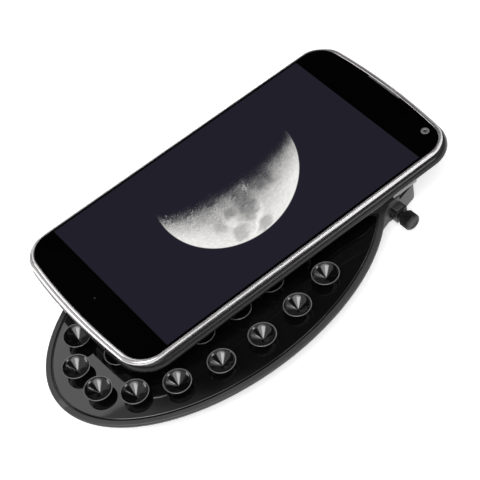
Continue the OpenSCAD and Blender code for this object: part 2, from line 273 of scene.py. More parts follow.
class Nodes:
    # short calls for the nodes of one tree
    def __init__(self, tree):
        self.tree = tree

    def put(self, socket, value):
        if isinstance(value, bpy.types.NodeSocket):
            self.tree.links.new(value, socket)
        else:
            socket.default_value = value

    def node(self, kind, inputs=(), **settings):
        made = self.tree.nodes.new("ShaderNode" + kind)
        for key, value in settings.items():
            setattr(made, key, value)
        for key, value in dict(inputs).items():
            self.put(made.inputs[key], value)
        return made

    def calc(self, operation, a, b=0.0, c=0.0, clamp=False):
        return self.node("Math", {0: a, 1: b, 2: c}, operation=operation, use_clamp=clamp).outputs[0]

    def times(self, a, b, clamp=False):
        return self.calc("MULTIPLY", a, b, clamp=clamp)

    def scaled(self, value, factor, added):
        return self.calc("MULTIPLY_ADD", value, factor, added)

    def vector(self, operation, a, b=(0, 0, 0)):
        made = self.node("VectorMath", {0: a, 1: b}, operation=operation)
        return made.outputs["Value" if operation in ("LENGTH", "DOT_PRODUCT") else "Vector"]

    def noise(self, scale, detail=4, roughness=0.5, where=None):
        inputs = {"Vector": where or self.here, "Scale": scale, "Detail": detail, "Roughness": roughness}
        return self.node("TexNoise", inputs).outputs["Fac"]

    def cells(self, scale, where=None):
        inputs = {"Vector": where or self.here, "Scale": scale}
        return self.node("TexVoronoi", inputs).outputs["Distance"]

    def stretch(self, scale):
        return self.node("Mapping", {"Vector": self.here, "Scale": scale}).outputs[0]

    def spread(self, value, start=0.3, end=0.7, low=0.0, high=1.0, smooth=False):
        kind = "SMOOTHSTEP" if smooth else "LINEAR"
        inputs = {"Value": value, "From Min": start, "From Max": end, "To Min": low, "To Max": high}
        return self.node("MapRange", inputs, interpolation_type=kind).outputs[0]

    def parts(self, where):
        return list(self.node("SeparateXYZ", {0: where}).outputs)

    def blendColours(self, share, a, b):
        made = self.node("Mix", {"Factor": share}, data_type="RGBA")
        self.put(made.inputs[6], a)
        self.put(made.inputs[7], b)
        return made.outputs[2]


class Finish(Nodes):
    # a Principled material
    def __init__(self, name, **sockets):
        self.material = bpy.data.materials.new(name)
        self.material.use_nodes = True
        super().__init__(self.material.node_tree)
        self.surface = self.tree.nodes["Principled BSDF"]
        self.here = self.tree.nodes.new("ShaderNodeTexCoord").outputs["Object"]
        for socket, value in sockets.items():
            self.surface.inputs[socket.replace("_", " ")].default_value = value

    def colour(self, share, a, b):
        self.put(self.surface.inputs["Base Color"], self.blendColours(share, a, b))

    def roughness(self, pattern, least, most, start=0.3, end=0.7):
        self.put(self.surface.inputs["Roughness"], self.spread(pattern, start, end, least, most))

    def bump(self, height, strength, distance=0.0001):
        made = self.node("Bump", {"Height": height, "Strength": strength, "Distance": distance})
        below = self.surface.inputs["Normal"]
        if below.is_linked:
            self.tree.links.new(below.links[0].from_socket, made.inputs["Normal"])
        self.put(below, made.outputs[0])

    def edgeWearAndHighlight(self, start=0.52, end=0.6):
        # lighter convex edges found by pointiness: real edge wear on the knob and the steel, a painted
        # highlight on the satin shells
        bend = self.node("NewGeometry").outputs["Pointiness"]
        return self.spread(bend, start, end)


def grey(value, blue=0.0):
    return (value, value, value + blue, 1)


def pianoBlack():
    f = Finish("pianoBlack", Specular_IOR_Level=0.75)
    smears = f.noise(45, 5, 0.6)
    f.colour(f.spread(smears, 0.35, 0.75), grey(0.0016), grey(0.0032))
    f.roughness(f.noise(90, 4, 0.6), 0.012, 0.035, end=0.75)
    f.bump(f.noise(55, 1, 0.4), 0.5, 0.00025)      # the face is pressed, so its reflections waver
    f.bump(f.noise(5200, 2), 0.02)
    return f.material


def satinGrey():
    f = Finish("satinGrey", Specular_IOR_Level=0.45)
    grain = f.noise(3800, 3, 0.6)
    cloud = f.noise(60, 4)
    base = f.blendColours(f.spread(cloud), grey(0.022), grey(0.034, 0.001))
    # the convex edges are painted lighter: a painted highlight along the rounded rim, partly edge wear
    f.colour(f.times(f.edgeWearAndHighlight(), 0.35), base, grey(0.15))
    f.roughness(f.calc("ADD", f.times(cloud, 0.6), f.times(grain, 0.4)), 0.34, 0.46)
    f.bump(grain, 0.12)
    f.bump(f.cells(2400), 0.06)
    return f.material


def cupSilicone():
    f = Finish("cupSilicone", Specular_IOR_Level=0.8)
    cloud = f.noise(400, 4)
    lip = f.spread(f.parts(f.here)[2], 3.2 * mm, 3.29 * mm)     # the lip is left matte, and painted pale as a painted highlight
    # the lip's pale grey is a painted highlight for the thin bright line along each cup's rim
    f.colour(lip, f.blendColours(f.spread(cloud), grey(0.002), grey(0.004)), grey(0.09))
    gloss = f.spread(cloud, 0.3, 0.75, 0.09, 0.16)
    f.put(f.surface.inputs["Roughness"], f.scaled(lip, 0.2, gloss))
    f.bump(f.noise(1300, 3), 0.05, 0.0002)
    return f.material


def knobBlack():
    f = Finish("knobBlack", Metallic=0.55, Specular_IOR_Level=0.5)
    cloud = f.noise(900, 4)
    base = f.blendColours(f.spread(cloud), grey(0.010), grey(0.020))
    f.colour(f.times(f.edgeWearAndHighlight(0.53, 0.66), 0.5), base, grey(0.22))
    f.roughness(cloud, 0.26, 0.42)
    f.bump(f.noise(5000, 3), 0.08)
    return f.material


def blackSteel():
    f = Finish("blackSteel", Metallic=0.7)
    turning = f.noise(700, 3, where=f.stretch((1, 12, 12)))
    base = f.blendColours(f.spread(turning, 0.35, 0.65), grey(0.010), grey(0.022))
    f.colour(f.times(f.edgeWearAndHighlight(0.54, 0.68), 0.4), base, grey(0.25))
    f.roughness(turning, 0.24, 0.4)
    f.bump(turning, 0.06)
    return f.material


def nylon():
    f = Finish("nylon", Subsurface_Weight=0.15, Subsurface_Scale=0.001)
    cloud = f.noise(900, 3)
    f.colour(cloud, (0.72, 0.70, 0.62, 1), (0.80, 0.78, 0.72, 1))
    f.roughness(cloud, 0.35, 0.5)
    f.bump(f.noise(4000, 2), 0.05)
    return f.material


def brightTrim():
    f = Finish("brightTrim", Metallic=1.0)
    smears = f.noise(120, 5, 0.6)
    f.colour(smears, (0.58, 0.565, 0.57, 1), (0.70, 0.685, 0.685, 1))
    f.roughness(smears, 0.2, 0.3, end=0.75)
    f.bump(f.noise(3500, 2), 0.02)
    return f.material


def alloy():
    f = Finish("alloy", Metallic=1.0)
    tooling = f.noise(300, 3, where=f.stretch((1, 14, 1)))
    f.colour(tooling, grey(0.42), grey(0.58))
    f.roughness(tooling, 0.22, 0.42)
    f.bump(tooling, 0.08)
    return f.material


def bandGrey():
    f = Finish("bandGrey", Specular_IOR_Level=0.3)
    cloud = f.noise(80, 4)
    f.colour(f.spread(cloud), grey(0.006), grey(0.010))
    f.roughness(f.noise(240, 4, 0.6), 0.16, 0.27)
    f.bump(f.noise(4200, 2), 0.04)
    return f.material


def backGlass():
    f = Finish("backGlass", Specular_IOR_Level=0.5, Coat_Weight=0.5, Coat_Roughness=0.03)
    smears = f.noise(70, 5, 0.65)
    weave = f.cells(900)
    sparkle = f.calc("LESS_THAN", weave, 0.24)
    f.colour(f.times(sparkle, 0.35), grey(0.004), grey(0.03))
    f.roughness(smears, 0.05, 0.14, end=0.75)
    f.bump(f.noise(60, 1), 0.1)
    return f.material


def batteryWrap():
    f = Finish("batteryWrap")
    creases = f.noise(160, 6, 0.7)
    f.colour(creases, grey(0.05), grey(0.11, 0.004))
    f.roughness(creases, 0.3, 0.5)
    f.bump(creases, 0.2, 0.0003)
    return f.material


def boardGreen():
    f = Finish("boardGreen", Coat_Weight=0.3, Coat_Roughness=0.2)
    blocks = f.node("TexBrick", {"Vector": f.here, "Scale": 260, "Mortar Size": 0.03}, offset=0.3)
    f.colour(blocks.outputs["Fac"], (0.008, 0.075, 0.035, 1), (0.03, 0.16, 0.07, 1))
    f.roughness(f.noise(500, 3), 0.3, 0.5)
    f.bump(blocks.outputs["Fac"], 0.3)
    return f.material


def lensRing():
    f = Finish("lensRing", Metallic=0.4)
    turning = f.noise(900, 2, where=f.stretch((1, 1, 9)))
    f.colour(turning, grey(0.13), grey(0.22))
    f.roughness(turning, 0.28, 0.42)
    f.bump(turning, 0.08)
    return f.material


def lensDark():
    f = Finish("lensDark", Specular_IOR_Level=0.7, Coat_Weight=0.6, Coat_Roughness=0.02)
    coating = f.spread(f.noise(500, 2))
    f.colour(coating, (0.003, 0.003, 0.006, 1), (0.010, 0.006, 0.016, 1))
    f.roughness(f.noise(900, 3), 0.04, 0.09)
    return f.material


def clearWindow():
    f = Finish("clearWindow", Transmission_Weight=0.95, IOR=1.45)
    smears = f.noise(700, 4, 0.6)
    f.colour(smears, (0.92, 0.95, 0.97, 1), (0.98, 0.99, 1.0, 1))
    f.roughness(smears, 0.01, 0.05, start=0.35, end=0.75)
    return f.material


def darkPlastic():
    f = Finish("darkPlastic")
    grain = f.noise(2600, 3)
    f.colour(f.noise(150, 3), grey(0.018), grey(0.032))
    f.roughness(grain, 0.42, 0.58)
    f.bump(grain, 0.12)
    return f.material


def grilleMetal():
    f = Finish("grilleMetal", Metallic=0.9)
    cloud = f.noise(900, 3)
    f.colour(cloud, grey(0.50), grey(0.66))
    f.roughness(cloud, 0.28, 0.4)
    f.bump(f.noise(6000, 2), 0.1)
    return f.material


def buttonGrey():
    f = Finish("buttonGrey", Metallic=0.8)
    brushed = f.noise(500, 3, where=f.stretch((10, 1, 10)))
    f.colour(brushed, grey(0.16), grey(0.24))
    f.roughness(brushed, 0.24, 0.38)
    f.bump(brushed, 0.05)
    return f.material


def goldCan():
    f = Finish("goldCan", Metallic=1.0)
    cloud = f.noise(1200, 3)
    f.colour(cloud, (0.72, 0.50, 0.20, 1), (0.85, 0.62, 0.28, 1))
    f.roughness(cloud, 0.25, 0.4)
    return f.material


# The picture on the screen: a half moon, drawn by nodes in the phone's own coordinates.

moonPicture = {
    "centre": (-8.8, 2.3),
    "radius": 26.9,
    "stretch": 0.097,                   # how much longer it is from upper left to lower right
    "nightEdge": (0.2685, 0.1425, -0.1425),         # bow, tilt and shift, in radii
    "lightStep": (0.018, 0.004, 0),                 # how far apart the two heights that make relief are
    "night": (0.0152, 0.0137, 0.0232, 1),
    "sunlit": (1.0, 0.992, 0.965, 1),
    # plains and streaks: centre, half sizes, turn, and how much darker; a streak is brighter
    "plains": [
        ((0.4, 9.8), (5.1, 5.1), 10, 0.25),
        ((5.2, 0.8), (6.5, 3.6), -8, 0.22),
        ((4.0, -5.2), (2.2, 2.4), 20, 0.15),
        ((15.4, 2.3), (2.0, 3.6), 12, 0.19),
        ((12.7, -6.4), (3.0, 3.0), 0, 0.16),
        ((5.8, -10.6), (2.4, 2.2), 0, 0.11),
        ((3.4, 13.8), (3.2, 2.0), 30, 0.07),
        ((12.6, 1.4), (5.2, 1.1), -48, -0.10),
        ((7.6, -5.8), (2.5, 1.8), 0, -0.08),
        ((-1.3, 5.2), (3.3, 0.42), -28, -0.28),
        ((0.6, -7.8), (2.2, 1.6), 0, -0.06),
    ],
}


def craterHeight(f, where):
    # bowls with raised rims at three sizes
    total = 0.0
    for scale, weight in ((5.5, 1.0), (12, 0.7), (26, 0.5)):
        away = f.cells(scale, where)
        bowl = f.spread(away, 0.0, 0.26, -1.0, 0.55, smooth=True)
        skirt = f.spread(away, 0.26, 0.45, 0.0, -0.55, smooth=True)
        total = f.scaled(f.calc("ADD", bowl, skirt), weight, total)
    return f.scaled(f.noise(30, 6, 0.7, where), 1.6, total)


def roundness(f, away):
    # the height of a ball of radius 1 at this distance from its middle
    square = f.times(away, away)
    return f.calc("SQRT", f.calc("MAXIMUM", f.calc("SUBTRACT", 1.0, square), 0.002))


def moonLight(f):
    # the brightness of the picture, 0 to 1, as an eye would rate it
    centre = moonPicture["centre"]
    size, stretch = moonPicture["radius"] * mm, moonPicture["stretch"]
    where = f.vector("SUBTRACT", f.here, (centre[0] * mm, centre[1] * mm, 0))
    where = f.vector("MULTIPLY", where, (1 / size, 1 / size, 0))
    across, along, _ = f.parts(where)
    swapped = f.node("CombineXYZ", {0: along, 1: across}).outputs[0]
    where = f.vector("ADD", where, f.vector("MULTIPLY", swapped, (stretch, stretch, 0)))
    x, y, _ = f.parts(where)
    away = f.vector("LENGTH", where)
    ball = f.node("CombineXYZ", {0: x, 1: y, 2: roundness(f, away)}).outputs[0]
    # the edge of night is a bowed line, a little tilted
    bow, tilt, shift = moonPicture["nightEdge"]
    nightEdge = f.scaled(roundness(f, y), bow, f.scaled(y, tilt, shift))
    day = f.calc("SUBTRACT", x, nightEdge)
    beside = f.vector("ADD", ball, moonPicture["lightStep"])
    relief = f.calc("SUBTRACT", craterHeight(f, ball), craterHeight(f, beside))
    south = f.spread(y, 0.75, -0.5, 0.45, 1.0)
    relief = f.times(relief, south)
    ragged = f.scaled(relief, 0.075, day)
    ragged = f.scaled(f.calc("SUBTRACT", f.noise(9, 4, 0.6, ball), 0.5), 0.12, ragged)
    lit = f.spread(ragged, -0.045, 0.24, smooth=True)
    # plains with soft, wandering edges
    drift = f.node("TexNoise", {"Vector": ball, "Scale": 7, "Detail": 4}).outputs["Color"]
    drift = f.vector("MULTIPLY", f.vector("SUBTRACT", drift, (0.5, 0.5, 0.5)), (0.2, 0.2, 0))
    wandering = f.vector("ADD", where, drift)
    tone = f.spread(away, 0.55, 1.0, 0.76, 0.93, smooth=True)
    for place, halves, turn, dark in moonPicture["plains"]:
        spot = [(place[i] - centre[i]) / moonPicture["radius"] for i in (0, 1)]
        widths = [h / moonPicture["radius"] for h in halves]
        local = f.node("Mapping", {"Vector": wandering, "Location": (spot[0], spot[1], 0),
                                   "Rotation": (0, 0, radians(turn)), "Scale": (widths[0], widths[1], 1)},
                       vector_type="TEXTURE").outputs[0]
        inside = f.spread(f.vector("LENGTH", local), 0.5, 1.38, 1.0, 0.0, smooth=True)
        tone = f.scaled(inside, -dark, tone)
    mottle = f.calc("SUBTRACT", f.noise(14, 6, 0.65, ball), 0.5)
    tone = f.scaled(mottle, 0.22, tone)
    nearNight = f.spread(day, 0.0, 0.55, 1.0, 0.10)
    tone = f.scaled(f.times(relief, nearNight), 0.42, tone)
    dusk = f.spread(day, 0.0, 0.55, 0.6, 1.0, smooth=True)
    tone = f.times(f.times(tone, dusk), lit, clamp=True)
    disc = f.spread(away, 0.985, 1.0, 1.0, 0.0, smooth=True)
    return f.times(tone, disc)


def screenGlass(halves):
    # black glass with the lit picture behind it; halves are the screen's half sizes in metres
    f = Finish("screenGlass", Specular_IOR_Level=0.002)
    x, y, z = f.parts(f.here)
    across = f.calc("LESS_THAN", f.calc("ABSOLUTE", x), halves[0])
    along = f.calc("LESS_THAN", f.calc("ABSOLUTE", y), halves[1])
    upward = f.calc("GREATER_THAN", z, -0.05 * mm)
    onScreen = f.times(f.times(across, along), upward)
    light = f.calc("POWER", moonLight(f), 2.2)
    picture = f.blendColours(light, moonPicture["night"], moonPicture["sunlit"])
    x, y = phone["statusLamp"]
    statusLamp = f.vector("LENGTH", f.vector("SUBTRACT", f.here, (x * mm, y * mm, 0)))
    lamp = f.spread(statusLamp, 0.25 * mm, 0.45 * mm, 0.025, 0.0)
    f.colour(f.noise(60, 4), grey(0.0004), grey(0.0010))
    f.roughness(f.noise(50, 5, 0.6), 0.04, 0.12, end=0.75)
    glow = f.blendColours(onScreen, f.blendColours(lamp, grey(0.0), grey(1.0)), picture)
    f.put(f.surface.inputs["Emission Color"], glow)
    f.surface.inputs["Emission Strength"].default_value = 1.0
    return f.material


finishes = {
    "piano_black": pianoBlack(), "satin_grey": satinGrey(), "black_steel": blackSteel(), "nylon": nylon(),
    "knob_black": knobBlack(), "bright_trim": brightTrim(), "alloy": alloy(), "band_grey": bandGrey(),
    "back_glass": backGlass(), "battery_wrap": batteryWrap(), "board_green": boardGreen(),
    "lens_ring": lensRing(), "clear_window": clearWindow(), "dark_plastic": darkPlastic(),
    "grille_metal": grilleMetal(), "button_grey": buttonGrey(), "gold_can": goldCan(),
    "cup_silicone": cupSilicone(), "black_glass": lensDark(), "screen": lensDark(),
}
print("finishes made:", len(finishes))


# The plate: an oval with a collar at its end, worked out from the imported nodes' boxes.

plate = {
    "back": 61.0,                       # from the bore's axis to the oval's middle
    "flare": 14.0,                      # radius of the hollow curves beside the collar
    "top": high("glossy_inlay").z,
    "halfWidth": high("upper_shell").x,
    "collar": high("eyepiece_collar").y,
    "bottom": low("lower_shell").z,
    "edge": 4.1,                        # radius of the rounded lower edge
    "groove": 0.5,
    "faceGap": 1.25,                    # from the collar to the glossy face
    "faceCorner": 1.6,
    "screwInset": 6.25,                 # from the plate's side to the shell screws
    "screwTurns": (19, -30, -68),
    "sight": 9.0,                       # opening for the lens
    "shoulder": (12.9, 8.4),            # centre of the collar's soft shoulder
    "shoulderRadius": 3.0,
}
plate["halfLength"] = -low("upper_shell").y - plate["back"]
plate["faceHalfWidth"] = high("glossy_inlay").x
plate["faceHalfLength"] = -low("glossy_inlay").y - plate["back"]


def ovalSpot(a, b, turn):
    # a point of the oval and the outward direction there
    t = radians(turn)
    point = Vector((a * cos(t), b * sin(t) - plate["back"]))
    outward = Vector((cos(t) / a, sin(t) / b)).normalized()
    return point, outward


def solve(test, start, end):
    # the place between start and end where test changes sign
    for _ in range(50):
        middle = (start + end) / 2
        if (test(start) > 0) == (test(middle) > 0):
            start = middle
        else:
            end = middle
    return start


def ovalArc(a, b, meet):
    # the oval from its left meeting place, round the far end, to the right one
    steps, sweep = 168, 180 + 2 * meet
    return [tuple(ovalSpot(a, b, 180 - meet + sweep * i / steps)[0]) for i in range(steps + 1)]


def mirrored(points):
    return [(-x, y) for x, y in reversed(points)]


def plateOutline():
    # the whole plate from above, counterclockwise, and how far each point shares the rounded lower edge
    a, b, flare, collar = plate["halfWidth"], plate["halfLength"], plate["flare"], plate["collar"]

    def flareCentre(t):
        point, outward = ovalSpot(a, b, t)
        return point + outward * flare

    meet = solve(lambda t: flareCentre(t).length - collar - flare, 35, 75)
    centre = flareCentre(meet)
    lean = degrees(atan2(centre.y, centre.x))
    contactY = collar * sin(radians(lean)) + 0.05
    contact = ovalSpot(a, b, meet)[0] - centre
    start = degrees(atan2(contact.y, contact.x)) % 360
    steps = 18
    rightFlare = arc(centre, flare, start, 180 + lean, steps)
    points = ovalArc(a, b, meet)
    share = [1.0] * len(points)
    fade = [1 - i / steps for i in range(1, steps + 1)]
    ease = [s * s * (3 - 2 * s) for s in fade]
    points += rightFlare[1:]
    share += ease
    collarArc = [p for p in collarFront(collar) if p[1] > contactY]
    points += collarArc
    share += [0.0] * len(collarArc)
    points += mirrored(rightFlare[1:-1])
    share += list(reversed(ease[:-1]))
    return points, share


def faceOutline(grow):
    # the glossy face: the oval cut back round the collar, with its two corners rounded
    a, b = plate["faceHalfWidth"] + grow, plate["faceHalfLength"] + grow
    clear = plate["collar"] + plate["faceGap"] - grow
    corner = plate["faceCorner"]

    def cornerCentre(t):
        point, outward = ovalSpot(a, b, t)
        return point - outward * corner

    meet = solve(lambda t: cornerCentre(t).length - clear - corner, 35, 75)
    centre = cornerCentre(meet)
    outward = ovalSpot(a, b, meet)[1]
    start = degrees(atan2(outward.y, outward.x))
    lean = degrees(atan2(centre.y, centre.x))
    right = arc(centre, corner, start, 180 + lean, 10)
    points = ovalArc(a, b, meet)
    points += right[1:]
    points += arc((0, 0), clear, lean, -180 - lean, 56)[1:]
    points += mirrored(right[1:-1])
    return withoutRepeats(points)


def collarFront(r, grow=0.0):
    # the round front with its two soft shoulders, from the right side round to the left
    x, y = plate["shoulder"]
    small = plate["shoulderRadius"] + grow
    lean = degrees(atan2(y, x))
    spread = degrees(acos((r - small) / hypot(x, y)))
    right = (arc((0, 0), r, 0, lean - spread, 8) + arc((x, y), small, lean - spread, lean + spread, 12)
             + arc((0, 0), r, lean + spread, 90, 16))
    return right + mirrored(right[:-1])


def collarOutline(grow=0.0):
    # with the foot that widens under the plate
    r = plate["collar"] + grow
    foot = [(r * cos(radians(10)), -r * sin(radians(10))), (18.6 + grow, -9),
            (18.6 + grow, -14), (17.9 + grow, -15.9), (14.8 + grow, -19.3 - grow), (13 + grow, -20 - grow)]
    return withoutRepeats(collarFront(r, grow) + [(-x, y) for x, y in foot] + foot[::-1])


def screwPlace(x):
    # the thumb screw's axis, pointing outwards from x
    return moved(x, 0, screw["axisZ"]) @ Matrix.Rotation(radians(90), 4, "Y")


screw = {
    "axisZ": (low("screw_knob").z + high("screw_knob").z) / 2,
    "radius": (high("screw_stud").z - low("screw_stud").z) / 2,
    "pitch": 0.7,
    "flutes": 24,
    "fluteDepth": 0.2,
    "threadDepth": 0.38,
    "plainEnd": 0.9,
    "slot": 2.45,                       # half width of the nut's slot
    "slotX": 15.9,                      # the slot's inner end
}


def nutSlotCutter():
    return boxCutter((screw["slotX"], screw["slotX"] + 5), (-screw["slot"], screw["slot"]),
                     (screw["axisZ"] - 2.1, plate["top"] + 2))


def makeFace():
    top, bottom = plate["top"], low("glossy_inlay").z
    outline = faceOutline(0)
    levels = [(0.0, bottom), (0.0, top - 0.3), (0.05, top - 0.14), (0.16, top - 0.04), (0.34, top)]
    piece = stacked("glossyFace", outline, levels)
    settle(piece, "adapter", "piano_black", "glossy_inlay")


def makeUpperShell():
    # the satin rim and the cover over the collar
    top, split = plate["top"], plate["top"] - 0.65
    tray, under = low("glossy_inlay").z, low("upper_shell").z
    outline, _ = plateOutline()
    groove = faceOutline(plate["groove"])
    easedGroove = [p[:2] for p in inset(groove, -0.12, 0)]
    levels = [(1.75, under), (1.75, split - 0.02), (0.45, split), (0.4, split + 0.1), (0.06, split + 0.12),
              (0.0, split + 0.2), (0.03, top - 0.28), (0.12, top - 0.13), (0.28, top - 0.035), (0.52, top)]
    rings = [inset(outline, d, z) for d, z in levels]
    verts, faces = loft(rings)
    piece = newPiece("satinTop", verts, faces[:-2])
    sight = arc((0, 0), plate["sight"], 0, 360, 72)[:-1]
    fillBetween(piece, top, [p[:2] for p in rings[-1]], easedGroove, sight)
    fillBetween(piece, under, [p[:2] for p in rings[0]], sight)
    fillBetween(piece, tray, groove)
    addWall(piece, (easedGroove, top), (groove, top - 0.12), (groove, tray))
    addWall(piece, (sight, top), (sight, under))
    tidyMesh(piece)
    cut(piece, nutSlotCutter())
    settle(piece, "adapter", "satin_grey", "upper_shell")


def makeLowerShell():
    # the rounded underside, open round the collar and hollow under the face
    split, bottom, edge = plate["top"] - 0.75, plate["bottom"], plate["edge"]
    outline, share = plateOutline()
    levels = []
    steps = 12
    for i in range(steps + 1):
        tilt = radians(90 * (1 - i / steps))
        z = plate["top"] - 0.15 - edge * sin(tilt)
        if z < split - 0.17:
            levels.append((edge * (1 - cos(tilt)), z))
    levels += [(0.05, split - 0.16), (0.4, split - 0.12), (0.45, split)]
    rings = [inset(outline, d, z, share) for d, z in levels]
    piece = newPiece("satinUnderside", *loft(rings))
    cavity = stacked("cutter", outline, [(2.4, bottom + 1.25), (2.4, split + 1)])
    cut(piece, cavity, slab("cutter", collarOutline(0.05), -1, 12), nutSlotCutter())
    for spot in screwSpots():
        place = moved(*spot)
        seat = [(2.05, -1), (2.05, 0), (1.85, 0.2), (1.85, 0.8), (1.0, 0.8), (1.0, 2)]
        cut(piece, lathe("cutter", [(radius, bottom + z) for radius, z in seat], 32, place))
    settle(piece, "adapter", "satin_grey", "lower_shell")


def screwSpots():
    # the shell screws stand on a smaller oval, three a side
    a, b = (plate[half] - plate["screwInset"] for half in ("halfWidth", "halfLength"))
    right = [(a * cos(radians(t)), b * sin(radians(t)) - plate["back"])
             for t in plate["screwTurns"]]
    return right + [(-x, y) for x, y in right]


def makeShellScrews():
    # pan heads with a cross recess
    z = plate["bottom"]
    head = [(0.85, 2.9), (0.85, 0.78), (1.55, 0.78), (1.7, 0.6), (1.66, 0.25), (1.4, 0.05), (0.9, 0.01), (0, 0)]
    head = [(radius, z + rise) for radius, rise in head]
    pieces = []
    for spot in screwSpots():
        place = moved(*spot)
        one = lathe("screwPart", head, 32, place)
        for turn in (20, 110):
            slot = Matrix.Rotation(radians(turn), 4, "Z")
            cut(one, boxCutter((-1.0, 1.0), (-0.17, 0.17), (z - 0.5, z + 0.42), place @ slot))
        pieces.append(one)
    whole = joined("shellScrews", pieces)
    settle(whole, "adapter", "black_steel", "shell_screws")


def joined(name, pieces):
    # one piece from several, in the row frame
    shape = bmesh.new()
    for piece in pieces:
        piece.data.transform(piece.matrix_world)
        shape.from_mesh(piece.data)
        bpy.data.objects.remove(piece)
    mesh = bpy.data.meshes.new(name)
    shape.to_mesh(mesh)
    shape.free()
    return linked(name, mesh)


def makeCollar():
    top = high("eyepiece_collar").z
    outline = collarOutline()
    levels = [(0.55, 0.0), (0.25, 0.06), (0.06, 0.25), (0.0, 0.55), (0.0, top)]
    piece = stacked("eyepieceCollar", outline, levels)
    bore = [(15.3, -1), (15.3, 0.0), (14.95, 0.12), (14.5, 0.6), (14.5, 6.0), (plate["sight"], 6.0),
            (plate["sight"], top + 1)]
    cut(piece, lathe("cutter", bore, 128), nutSlotCutter(),
        cylinderCutter(screw["radius"] + 0.1, 0, 6, screwPlace(12.5), 48))
    settle(piece, "adapter", "satin_grey", "eyepiece_collar")


def makeCups():
    # every cup is the same soft moulding: a cone-shaped dish on a stem through the plate
    bottom, top = low("outer_cup_01").z - plate["top"], high("outer_cup_01").z - plate["top"]
    radius = (high("outer_cup_01").x - low("outer_cup_01").x) / 2
    profile = [(0.0, bottom), (1.7, bottom), (2.0, bottom + 0.12), (2.1, bottom + 0.4),
               (1.95, bottom + 0.75), (1.3, bottom + 0.8), (1.3, 0.02), (1.85, 0.03), (2.05, 0.2),
               (2.15, 0.5), (2.6, 0.98), (3.3, 1.72), (4.0, 2.46), (radius - 0.12, top - 0.42),
               (radius, top - 0.16), (radius - 0.02, top - 0.05), (radius - 0.1, top),
               (radius - 0.3, top - 0.02), (radius - 0.38, top - 0.1), (radius - 0.45, top - 0.25), (3.4, 2.54),
               (2.4, 1.9), (1.4, 1.24), (0.6, 0.78), (0.18, 0.58), (0.0, 0.53)]
    pattern = lathe("cupPattern", profile, 72)
    for node in sorted(n for n in frame["nodes"] if "_cup_" in n):
        ring, _, number = node.split("_")
        middle = (low(node) + high(node)) / 2
        cup = linked(ring + "Cup" + number, pattern.data)
        cup.location = (middle.x * mm, middle.y * mm, plate["top"] * mm)
        settle(cup, "adapter", "cup_silicone", node)
    bpy.data.objects.remove(pattern)


def makeThumbScrew():
    # the knob's flutes are cut into a chamfered barrel
    length = high("screw_knob").x - low("screw_knob").x
    radius = (high("screw_knob").z - low("screw_knob").z) / 2
    steps = 10
    barrel = [(radius, 0.6 + (length - 1.2) * i / steps) for i in range(steps + 1)]
    profile = [(0, 0.04), (1.6, 0.04), (1.75, 0), (radius - 0.6, 0), (radius - 0.3, 0.22)] + barrel
    profile += [(radius - 0.28, length - 0.25), (radius - 0.7, length), (radius - 1.1, length),
                (radius - 1.3, length - 0.18), (0, length - 0.22)]

    def fluted(r, t, z):
        if r < radius - 0.2:
            return r
        wave = 0.5 + 0.5 * cos(t * screw["flutes"])
        return r - screw["fluteDepth"] * wave ** 1.6

    knob = lathe("knurledKnob", profile, screw["flutes"] * 10, screwPlace(low("screw_knob").x), fluted)
    settle(knob, "thumb_screw", "knob_black", "screw_knob")

    # the stud has a real thread behind its plain end
    start, pitch, outer, plain = low("screw_stud").x, screw["pitch"], screw["radius"], screw["plainEnd"]
    rows = 96
    rise = (high("screw_stud").x - start - plain) / rows

    def threaded(r, t, z):
        phase = ((start + z) / pitch - t / (2 * pi)) % 1
        crest = 1 - abs(2 * phase - 1)
        growth = min(1.0, (z - plain) / rise / 6)
        return r - screw["threadDepth"] * (1 - min(1.0, 1.25 * crest) * growth)

    place = screwPlace(start)
    thread = lathe("threadPart", [(outer, plain + rise * i) for i in range(rows + 1)], 40, place, threaded)
    pilot = lathe("pilotPart", [(0.6, 0), (0.7, 0.1), (0.7, 1.4)], 32, place)
    settle(joined("screwThread", [thread, pilot]), "thumb_screw", "black_steel", "screw_stud")


def makePlate():
    makeFace()
    makeUpperShell()
    makeLowerShell()
    makeCollar()
    makeShellScrews()
    makeCups()
    makeThumbScrew()
    softCopy("thread_nut", "threadNut", 0.22, "adapter", "black_steel")
    softCopy("nut_key", "nutKey", 0.12, "adapter", "satin_grey")
    softCopy("screw_tip", "screwTip", 0.12, "screw_tip", "nylon")


makePlate()
print("plate, collar, screw and cups made")


# The phone, built round the middle of its screen on the face of the glass.

phone = {
    "at": (-13.9, -39.1),
    "turn": 1.91,                       # degrees, clockwise from above
    "face": high("front_glass").z,
    "bow": 220.0,                       # radius of the bowed ends
    "glass": (31.5, 64.75, 63.65, 8.5),         # half width, reach up, reach down, corner radius
    "trimOuter": (32.5, 66.5, 65.9, 10.0),
    "inside": (30.2, 64.2, 62.2, 8.0),
    "back": (30.5, 64.5, 63.7, 9.7),
    "band": (34.0, 68.0, 65.9, 11.5),
    "screen": (30.7, 51.2),
    "buttonZ": (-5.5, -3.9),
    # each button's node, piece, side and ends along the phone
    "buttons": [("power_button", "powerButton", 1, 36.7, 46.8),
                ("volume_rocker", "volumeRocker", -1, 34, 54)],
    "trayHole": (12.3, 1.8),
    "trayAt": (26.5, -5.85),
    "sideCut": (28, 36),                # how deep the openings of the sides and ends start and end
    "footCut": (60, 68),
    "topCut": (62, 70),
    "port": (8.4, 3.0),
    "portZ": -4.8,
    "footHoles": [(-8.5, 1.25), (8.5, 1.25), (14, 0.5)],
    "audio": (-18, -5.2),
    "audioRadius": 1.9,
    "frontCamera": (23.75, 60.25),
    "statusLamp": (0.6, -57),
    "notch": (-8.0, 7.1, 63.95),
}
phonePlace = moved(*phone["at"], phone["face"]) @ Matrix.Rotation(radians(-phone["turn"]), 4, "Z")
